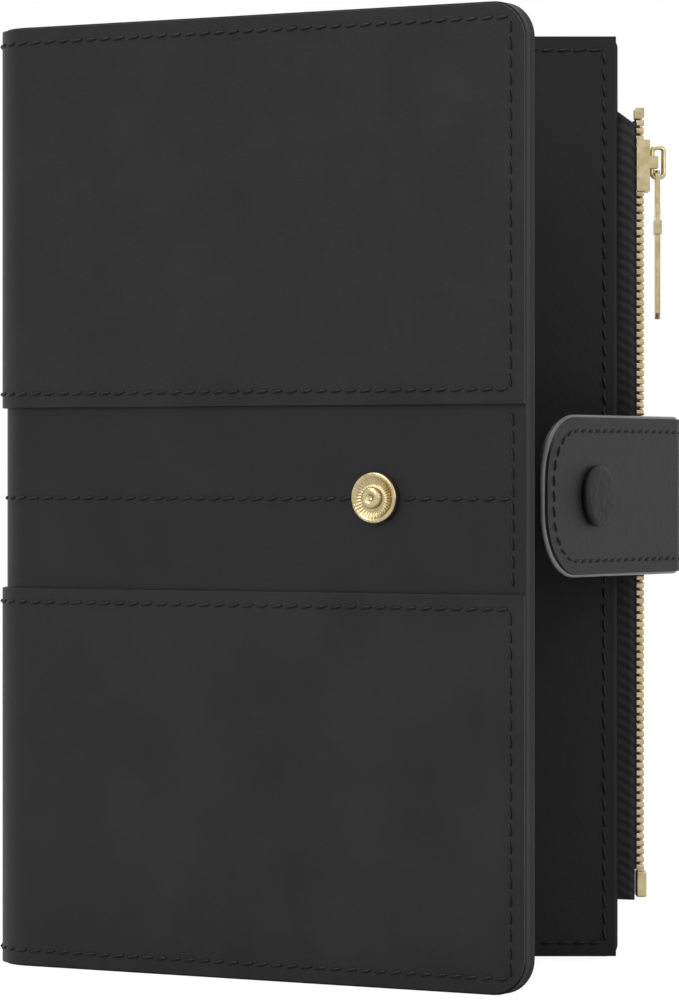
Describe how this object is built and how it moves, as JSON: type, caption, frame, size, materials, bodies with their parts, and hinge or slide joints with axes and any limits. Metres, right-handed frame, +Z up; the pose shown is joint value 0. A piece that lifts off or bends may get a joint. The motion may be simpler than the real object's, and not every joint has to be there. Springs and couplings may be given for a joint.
{
  "type": "travel document wallet",
  "caption": "Leather travel document wallet with a hinged front cover, a zip pocket on the back cover and a snap closing strap.",
  "frame": {"origin": "on the floor, in the middle of the back cover sheet's thickness, halfway between the spine side and the zip side", "axes": "+Z up along the cover's height, +X from the spine towards the zip, -Y towards the front cover"},
  "size_m": [0.1096, 0.0643, 0.15],
  "materials": {
    "outer_leather": "smooth matt",
    "panel_leather": "smooth matt",
    "lining_leather": "flat matt",
    "strap_leather": "smooth matt",
    "cap_leather": "wrinkled matt",
    "zip_fabric": "herringbone weave",
    "zip_brass": "polished pale",
    "snap_brass": "polished pale"
  },
  "bodies": {
    "back_half": {"cover_back": "outer_leather", "upper_panel_back": "panel_leather", "lower_panel_back": "panel_leather", "inner_panel": "lining_leather", "pocket_gusset": "lining_leather", "zip_tape_front": "zip_fabric", "zip_tape_rear": "zip_fabric", "zip_teeth_front": "zip_brass", "zip_teeth_rear": "zip_brass", "zip_bottom_stop": "zip_brass", "zip_top_stop_front": "zip_brass", "zip_top_stop_rear": "zip_brass", "strap_outer": "strap_leather", "strap_lining": "strap_leather", "snap_cap": "cap_leather", "snap_socket": "snap_brass"},
    "front_cover": {"cover_front": "outer_leather", "upper_panel_front": "panel_leather", "lower_panel_front": "panel_leather", "cover_lining": "lining_leather", "passport_sleeve": "lining_leather", "snap_stud": "snap_brass", "stud_rivet": "snap_brass"},
    "slider": {"zip_slider": "zip_brass"},
    "ring": {"pull_ring": "zip_brass"},
    "pull": {"pull_tab": "zip_brass"}
  },
  "joints": [
    {"name": "cover_hinge", "type": "hinge", "parent": "back_half", "child": "front_cover", "pos_m": [-0.0475, -0.01653, 0.075], "axis": [0, 0, -1], "range_deg": [-8, 150]},
    {"name": "slider_travel", "type": "slide", "parent": "back_half", "child": "slider", "axis": [0, 0, -1], "range_m": [-0.003, 0.103]},
    {"name": "ring_swing", "type": "hinge", "parent": "slider", "child": "ring", "pos_m": [0.05365, -0.0026, 0.1293], "axis": [0, 0, 1], "range_deg": [-18, 18]},
    {"name": "tab_swing", "type": "hinge", "parent": "ring", "child": "pull", "pos_m": [0.0545, -0.0026, 0.1269], "axis": [1, 0, 0], "range_deg": [-30, 30]}
  ]
}
